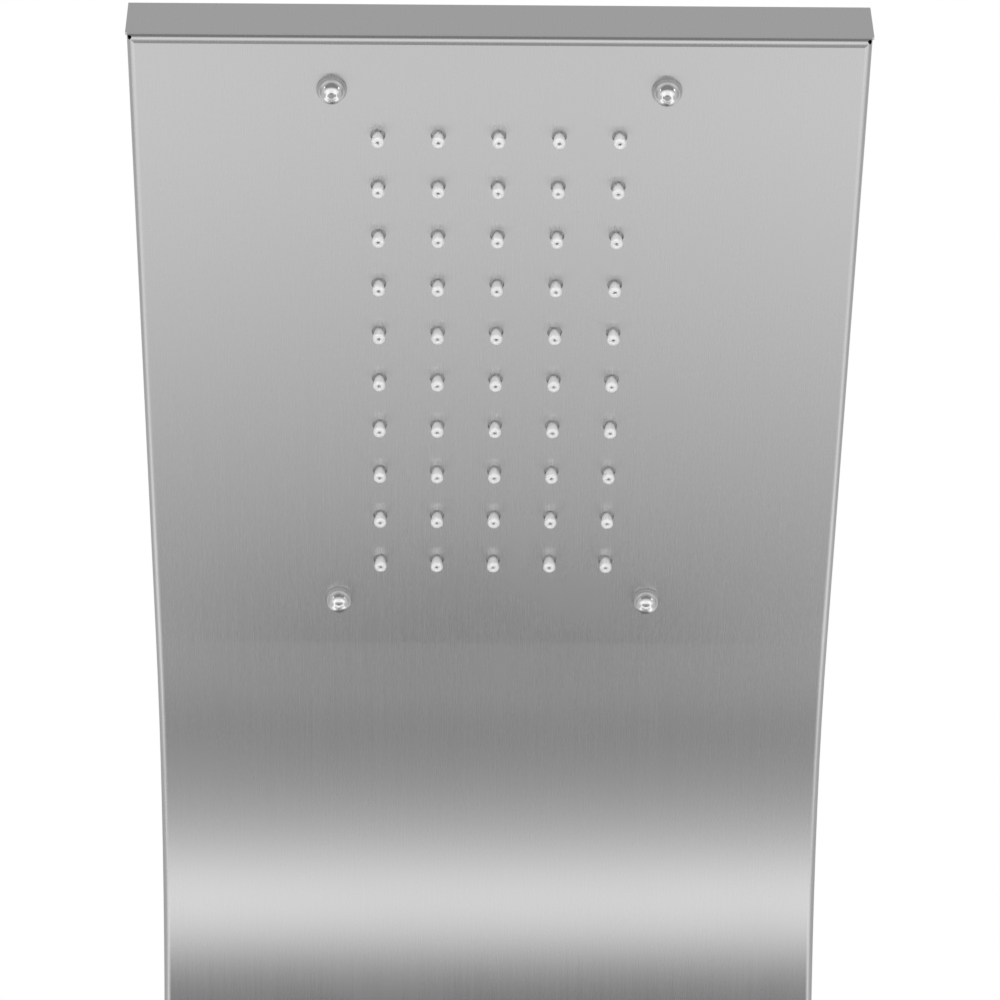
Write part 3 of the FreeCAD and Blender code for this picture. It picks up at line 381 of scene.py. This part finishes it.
def cap_nut_chrome():
    """Polished cap with water marks, over a rougher washer foot whose darker grey is painted shade
    where the cap meets the face.
    """
    material, tree, shader = finish("cap_nut_chrome", Metallic=1.0)
    depth = use(tree, panel_run)["Depth"]
    # washer foot mask, next to the face: painted shade in the colour and a rougher finish
    foot = remap(tree, depth, -CAP_FOOT - 0.1 * MM, -CAP_FOOT, 0.0, 1.0)
    film = use(tree, handling_marks, Patch_Size=0.004, Streak_Size=0.001)["Film"]
    polished = mixed(tree, film, grey(0.84), grey(0.80))
    # painted shade: darker grey on the foot where the cap meets the face
    fill(tree, shader.inputs["Base Color"], mixed(tree, foot, polished, grey(0.52)))
    rough = remap(tree, film, 0.0, 1.0, 0.03, 0.07)
    fill(tree, shader.inputs["Roughness"], calc(tree, "MULTIPLY_ADD", foot, 0.35, rough))
    return material


def plain_metal(name, light, dark, low_rough, high_rough, pebble, height):
    """Cast, drawn or plated metal with a pebbled skin."""
    material, tree, shader = finish(name, Metallic=1.0)
    skin = use(tree, fine_texture, Pebble_Size=pebble)
    rough = remap(tree, skin["Mottle"], 0.3, 0.7, low_rough, high_rough)
    fill(tree, shader.inputs["Base Color"], mixed(tree, skin["Mottle"], dark, light))
    fill(tree, shader.inputs["Roughness"], rough)
    bumped(tree, shader, skin["Pebbles"], 0.3, height)
    return material


def moulded(name, light, dark, low_rough, high_rough, pebble, height, shade=None, **settings):
    """Plastic, rubber or silicone out of a textured mould.

    Where a shade is given, it paints shade onto the moulded colour."""
    material, tree, shader = finish(name, **settings)
    skin = use(tree, fine_texture, Pebble_Size=pebble)
    film = use(tree, handling_marks, Patch_Size=0.04, Streak_Size=0.008)["Film"]
    colour = mixed(tree, skin["Mottle"], dark, light)
    if shade:
        colour = shade(tree, colour)
    fill(tree, shader.inputs["Base Color"], colour)
    fill(tree, shader.inputs["Roughness"], remap(tree, film, 0.0, 1.0, low_rough, high_rough))
    bumped(tree, shader, skin["Pebbles"], 0.25, height)
    return material


def painted_hole_shade(tree, colour):
    """Painted shade: colour that darkens from the face down into the holes round the nubs."""
    depth = use(tree, panel_run)["Depth"]
    hole_shade = remap(tree, depth, 0.0, 0.8 * MM, 0.0, 1.0)
    return mixed(tree, hole_shade, colour, grey(0.58))


def temperature_plug():
    """Round plug, red on the hot side and blue on the cold side."""
    material, tree, shader = finish("temperature_plug", Coat_Weight=0.4)
    across = apart(tree, object_place(tree))[0]
    half = remap(tree, across, -0.0001, 0.0001, 0.0, 1.0)
    colour = mixed(tree, half, (0.55, 0.03, 0.03, 1), (0.02, 0.10, 0.50, 1))
    film = use(tree, handling_marks, Patch_Size=0.01, Streak_Size=0.002)["Film"]
    fill(tree, shader.inputs["Base Color"], colour)
    fill(tree, shader.inputs["Roughness"], remap(tree, film, 0.0, 1.0, 0.25, 0.4))
    return material


stainless = brushed_stainless()
chrome = chrome_plate()
cap_chrome = cap_nut_chrome()
drawn_tube = plain_metal("drawn_tube", grey(0.66), grey(0.60), 0.22, 0.32, 0.0015, 0.00001)
zinc_sheet = plain_metal(
    "zinc_sheet", (0.62, 0.63, 0.65, 1), (0.50, 0.51, 0.53, 1), 0.35, 0.5, 0.004, 0.00002
)
bright_steel = plain_metal("bright_steel", grey(0.66), grey(0.58), 0.2, 0.3, 0.0006, 0.00001)
cast_brass = plain_metal(
    "cast_brass", (0.80, 0.62, 0.34, 1), (0.68, 0.50, 0.25, 1), 0.3, 0.45, 0.0008, 0.00006
)
silicone = moulded(
    "pale_silicone",
    grey(0.80),
    grey(0.76),
    0.42,
    0.55,
    0.0005,
    0.00001,
    # painted shade darkens the silicone down in the nub holes
    shade=painted_hole_shade,
    IOR=1.41,
    Subsurface_Weight=0.5,
    Subsurface_Radius=(1, 1, 1),
    Subsurface_Scale=0.0012,
)
black_plastic = moulded("black_plastic", grey(0.045), grey(0.03), 0.38, 0.5, 0.0006, 0.00003)
white_plastic = moulded("white_plastic", grey(0.78), grey(0.72), 0.35, 0.45, 0.0006, 0.00002)
black_rubber = moulded("black_rubber", grey(0.03), grey(0.02), 0.6, 0.75, 0.0004, 0.00002)
plug = temperature_plug()

FINISHES = {
    stainless: ["front_panel", "head_cover"],
    cap_chrome: ["dome_nuts"],
    chrome: [
        "cartridge_cover",
        "mixer_lever",
        "diverter_knob",
        "outlet_elbow",
        "outlet_trim",
        "mixer_trim",
        "diverter_trim",
    ],
    drawn_tube: ["rain_pipe", "link_pipe", "jet_manifold"],
    zinc_sheet: [
        "wall_bracket_upper",
        "wall_bracket_lower",
        "hanging_rail_upper",
        "hanging_rail_lower",
    ],
    bright_steel: ["cover_screws", "chamber_bolts", "stem_pin", "lever_screw", "knob_screw"],
    cast_brass: [
        "pipe_nuts",
        "ring_nuts",
        "mixer_body",
        "cartridge_nut",
        "lever_stem",
        "diverter_body",
        "diverter_spindle",
    ],
    silicone: ["nozzle_mat"],
    black_plastic: ["spray_chamber", "jet_nuts"],
    white_plastic: ["pipe_clips", "mixer_cartridge", "cartridge_turret", "diverter_cartridge"],
    black_rubber: ["gaskets"],
    plug: ["lever_mark"],
}
for number in (1, 2, 3):
    FINISHES[black_plastic].append(f"jet_housing_{number}")
    FINISHES[chrome] += [f"jet_ring_{number}", f"jet_ball_{number}"]
    FINISHES[silicone].append(f"jet_insert_{number}")
for material, names in FINISHES.items():
    for name in names:
        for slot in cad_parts[name].material_slots:
            slot.material = material


# ---- mesh helpers ----
def piece(name, mesh, material, body):
    """A new piece of the object that rides on a body."""
    made = bpy.data.objects.new(name, mesh)
    mesh.materials.append(material)
    bpy.context.scene.collection.objects.link(made)
    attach(made, body)
    return made


def bridged(shape, rings):
    """Faces from each ring of points to the next; a ring of one point closes the shape."""
    for low, high in zip(rings, rings[1:]):
        sides = max(len(low), len(high))
        for step in range(sides):
            after = (step + 1) % sides
            if len(high) == 1:
                shape.faces.new((low[step], low[after], high[0]))
            elif len(low) == 1:
                shape.faces.new((low[0], high[after], high[step]))
            else:
                shape.faces.new((low[step], low[after], high[after], high[step]))


def lathed(shape, profile, places, turn, sides):
    """Adds one turned shape at each place. Profile entries are (radius, height)."""
    for place in places:
        rings = []
        for radius, height in profile:
            ring = []
            for step in range(sides if radius else 1):
                angle = 2 * math.pi * step / sides
                point = Vector((radius * math.cos(angle), radius * math.sin(angle), height))
                ring.append(shape.verts.new(place + turn @ point))
            rings.append(ring)
        bridged(shape, rings)


def closed_mesh(name, shape, sharp=40):
    """Turns a bmesh into a mesh with smooth faces and sharp corners."""
    bmesh.ops.recalc_face_normals(shape, faces=shape.faces)
    mesh = bpy.data.meshes.new(name)
    shape.to_mesh(mesh)
    shape.free()
    mesh.shade_smooth()
    mesh.set_sharp_from_angle(angle=math.radians(sharp))
    return mesh


# ---- nozzle mat ----
def head_point(across, back, depth):
    """Point of the head: across it, back from the lip, and behind the face by a depth."""
    return LIP_EDGE + Vector((across, 0, 0)) + HEAD_BACK * back + HEAD_UP * depth


def nubs(shape):
    """Fifty waisted nubs, each with its water hole."""
    places = []
    for row in range(NOZZLE_ROWS):
        for column in range(NOZZLE_COLUMNS):
            across = (column - (NOZZLE_COLUMNS - 1) / 2) * NOZZLE_PITCH
            places.append(head_point(across, FIRST_ROW + MAT_SLACK + row * NOZZLE_PITCH, 0))
    profile = [(radius * MM, height * MM) for radius, height in NUB_PROFILE]
    outward = Matrix((Vector((1, 0, 0)), HEAD_BACK, -HEAD_UP)).transposed()
    lathed(shape, profile, places, outward, NUB_SIDES)


def mat_outline():
    """Rounded outline of the mat, as (across, back) points."""
    corners = ((1, MAT_FRONT, 1), (1, MAT_REAR, -1), (-1, MAT_REAR, -1), (-1, MAT_FRONT, 1))
    points = []
    for number, (side, back, inward) in enumerate(corners):
        across = side * (MAT_HALF_WIDTH - MAT_CORNER)
        back += inward * MAT_CORNER
        for step in range(MAT_CORNER_STEPS + 1):
            angle = math.radians(90 * (number - 1 + step / MAT_CORNER_STEPS))
            x = across + MAT_CORNER * math.cos(angle)
            points.append((x, back + MAT_CORNER * math.sin(angle)))
    return points


def mat_plate(shape):
    """Flat plate of the mat, behind the face sheet, with softened edges."""
    middle = (MAT_FRONT + MAT_REAR) / 2
    outline = mat_outline()
    steps = [(MAT_EDGE, 0), (0, MAT_EDGE)]
    steps += [(0, MAT_THICKNESS - MAT_EDGE), (MAT_EDGE, MAT_THICKNESS)]
    rings = []
    for inset, depth in steps:
        ring = []
        for across, back in outline:
            across -= math.copysign(inset, across)
            back -= math.copysign(inset, back - middle)
            ring.append(shape.verts.new(head_point(across, back, FACE_SHEET + depth)))
        rings.append(ring)
    bridged(shape, rings)
    shape.faces.new(rings[0])
    shape.faces.new(rings[-1])


def soft_nozzles():
    """Silicone mat with its nubs, in place of the plainer one among the solids."""
    shape = bmesh.new()
    nubs(shape)
    mat_plate(shape)
    made = piece("soft_nozzles", closed_mesh("soft_nozzles", shape), silicone, "panel")
    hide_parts("nozzle_mat")


soft_nozzles()


# ---- camera ----
def photo_camera():
    """Camera at the photograph's place, below and in front of the head."""
    data = bpy.data.cameras.new("photo_camera")
    data.lens = CAMERA_LENS
    data.sensor_width = CAMERA_FILM_WIDTH
    data.clip_end = CAMERA_REACH
    camera = bpy.data.objects.new("photo_camera", data)
    bpy.context.scene.collection.objects.link(camera)
    turn = Matrix.Rotation(-CAMERA_HEADING, 4, "Z")
    turn = turn @ Matrix.Rotation(math.pi / 2 + CAMERA_RISE, 4, "X")
    turn = turn @ Matrix.Rotation(CAMERA_ROLL, 4, "Z")
    camera.matrix_world = Matrix.Translation(CAMERA_PLACE) @ turn
    bpy.context.scene.camera = camera


photo_camera()


# ---- studio ----
def stage_mesh(name, points, faces, material):
    """Part of the studio, which isn't part of the object."""
    mesh = bpy.data.meshes.new(name)
    mesh.from_pydata(points, [], faces)
    mesh.materials.append(material)
    made = bpy.data.objects.new(name, mesh)
    bpy.context.scene.collection.objects.link(made)
    return made


def studio_floor():
    """Pale floor that keeps the object's shadow and is clear from below.

    The camera sees it paler than it is lit."""
    material, tree, shader = finish("studio_floor", Roughness=0.9)
    noise = put(tree, "ShaderNodeTexNoise", {"Scale": 3.0, "Detail": 3.0})
    fill(tree, noise.inputs["Vector"], object_place(tree))
    fill(tree, shader.inputs["Base Color"], mixed(tree, noise.outputs[0], grey(0.80), grey(0.82)))
    white = put(tree, "ShaderNodeEmission", {"Color": grey(1.0)}).outputs[0]
    seen = put(tree, "ShaderNodeLightPath").outputs["Is Camera Ray"]
    share = calc(tree, "MULTIPLY", seen, FLOOR_PALENESS)
    lit = mixed_shader(tree, share, shader.outputs[0], white)
    below = put(tree, "ShaderNodeNewGeometry").outputs["Backfacing"]
    clear = put(tree, "ShaderNodeBsdfTransparent").outputs[0]
    surface = mixed_shader(tree, below, lit, clear)
    fill(tree, tree.nodes["Material Output"].inputs["Surface"], surface)
    points = []
    for step in range(FLOOR_SIDES):
        angle = 2 * math.pi * step / FLOOR_SIDES
        x, y = FLOOR_RADIUS * math.cos(angle), FLOOR_RADIUS * math.sin(angle)
        points.append((x, y, FLOOR_HEIGHT))
    floor = stage_mesh("studio_floor", points, [range(FLOOR_SIDES)], material)
    floor.visible_glossy = False


def softbox(name, place, aim, width, height, radiance, metal_shows):
    """Rectangular lamp that points at a place and that the camera doesn't see."""
    data = bpy.data.lights.new(name, "AREA")
    data.shape = "RECTANGLE"
    data.size, data.size_y = width, height
    data.energy = radiance * math.pi * width * height
    lamp = bpy.data.objects.new(name, data)
    lamp.location = place
    direction = Vector(aim) - Vector(place)
    lamp.rotation_mode = "QUATERNION"
    lamp.rotation_quaternion = direction.to_track_quat("-Z", "Y")
    lamp.visible_camera = False
    lamp.visible_glossy = metal_shows
    bpy.context.scene.collection.objects.link(lamp)


def shaded_by(tree, value, levels):
    """Grey level that follows a list of (value, level) smoothly."""
    low, high = levels[0][0], levels[-1][0]
    ramp = put(tree, "ShaderNodeValToRGB", {"Fac": remap(tree, value, low, high, 0.0, 1.0)})
    ramp.color_ramp.interpolation = "EASE"
    stops = ramp.color_ramp.elements
    for place, level in levels[1:-1]:
        stops.new((place - low) / (high - low))
    for stop, (place, level) in zip(stops, levels):
        stop.position = (place - low) / (high - low)
        stop.color = grey(level)
    return ramp.outputs[0]


def reflector_material(name):
    """Glowing card. Gives its tree, its glow's colour and the share of it that is clear."""
    material = bpy.data.materials.new(name)
    material.use_nodes = True
    tree = material.node_tree
    tree.nodes.clear()
    glow = put(tree, "ShaderNodeEmission")
    clear = put(tree, "ShaderNodeBsdfTransparent")
    both = put(tree, "ShaderNodeMixShader", {1: glow.outputs[0], 2: clear.outputs[0]})
    put(tree, "ShaderNodeOutputMaterial", {"Surface": both.outputs[0]})
    return material, tree, glow.inputs["Color"], both.inputs[0]


def hang_card(name, points, material):
    """Card that only metal sees, from the side round which its corners run anticlockwise."""
    card = stage_mesh(name, points, [(0, 1, 2, 3)], material)
    card.visible_camera = False
    card.visible_diffuse = False
    card.visible_shadow = False
    card.visible_transmission = False


def under_card():
    """Graduated reflector under the rain head, for the head and for the neck, paler at its sides.

    Surfaces close above it, such as the column's face, look through it."""
    material, tree, colour, clear = reflector_material("under_card")
    across, y, _ = apart(tree, object_place(tree))
    length = put(tree, "ShaderNodeLightPath").outputs["Ray Length"]
    far = remap(tree, length, *HEAD_REACH, 0.0, 1.0)
    neck_level = shaded_by(tree, y, NECK_LEVELS)
    level = mixed(tree, far, neck_level, shaded_by(tree, y, HEAD_LEVELS))
    side = remap(tree, calc(tree, "ABSOLUTE", across), *CARD_SIDES, 1.0, CARD_SIDE_GAIN)
    gained = put(tree, "ShaderNodeVectorMath", {0: level, 1: side}, operation="MULTIPLY")
    fill(tree, colour, gained.outputs[0])
    behind = put(tree, "ShaderNodeNewGeometry").outputs["Backfacing"]
    near = calc(tree, "LESS_THAN", length, CARD_NEAREST)
    fill(tree, clear, calc(tree, "MAXIMUM", behind, near))
    front, back = NECK_LEVELS[0][0], NECK_LEVELS[-1][0]
    points = [(-CARD_HALF, front), (CARD_HALF, front), (CARD_HALF, back), (-CARD_HALF, back)]
    hang_card("under_card", [(x, y, CARD_HEIGHT) for x, y in points], material)


def front_flag():
    """Dark card before the lip, which draws the dark band on the lip's bend and the cap nuts."""
    material, tree, colour, clear = reflector_material("front_flag")
    fill(tree, colour, grey(FLAG_LEVEL))
    fill(tree, clear, put(tree, "ShaderNodeNewGeometry").outputs["Backfacing"])
    points = [(FLAG_HALF, FLAG_LOW), (-FLAG_HALF, FLAG_LOW)]
    points += [(-FLAG_HALF, FLAG_HIGH), (FLAG_HALF, FLAG_HIGH)]
    hang_card("front_flag", [(x, FLAG_PLACE, z) for x, z in points], material)


def studio_world():
    """White for the camera, a pale room for metal, and soft grey otherwise."""
    world = bpy.data.worlds.new("studio_world")
    bpy.context.scene.world = world
    world.use_nodes = True
    tree = world.node_tree
    path = put(tree, "ShaderNodeLightPath").outputs
    direction = put(tree, "ShaderNodeTexCoord").outputs["Generated"]
    sideways, forward, rise = apart(tree, direction)
    front = remap(tree, forward, *FRONT_REACH, 1.0, 0.0)
    room = mixed(tree, front, grey(ROOM_LEVEL), shaded_by(tree, rise, FRONT_LEVELS))
    beside = shaded_by(tree, calc(tree, "ABSOLUTE", sideways), SIDE_LEVELS)
    below = remap(tree, rise, *SIDE_REACH, 1.0, 0.0)
    room = mixed(tree, calc(tree, "MULTIPLY", beside, below), room, grey(SIDE_GLOW))
    seen = calc(tree, "MAXIMUM", path["Is Camera Ray"], path["Is Transmission Ray"])
    colour = mixed(tree, path["Is Glossy Ray"], grey(DIFFUSE_LEVEL), room)
    background = tree.nodes["Background"]
    fill(tree, background.inputs["Color"], mixed(tree, seen, colour, grey(1.0)))
    fill(tree, background.inputs["Strength"], 1.0)


studio_floor()
for lamp in LAMPS:
    softbox(*lamp)
under_card()
front_flag()
studio_world()
bpy.context.scene.view_settings.view_transform = "Standard"


def corners(box):
    return [list(corner) for corner in box]
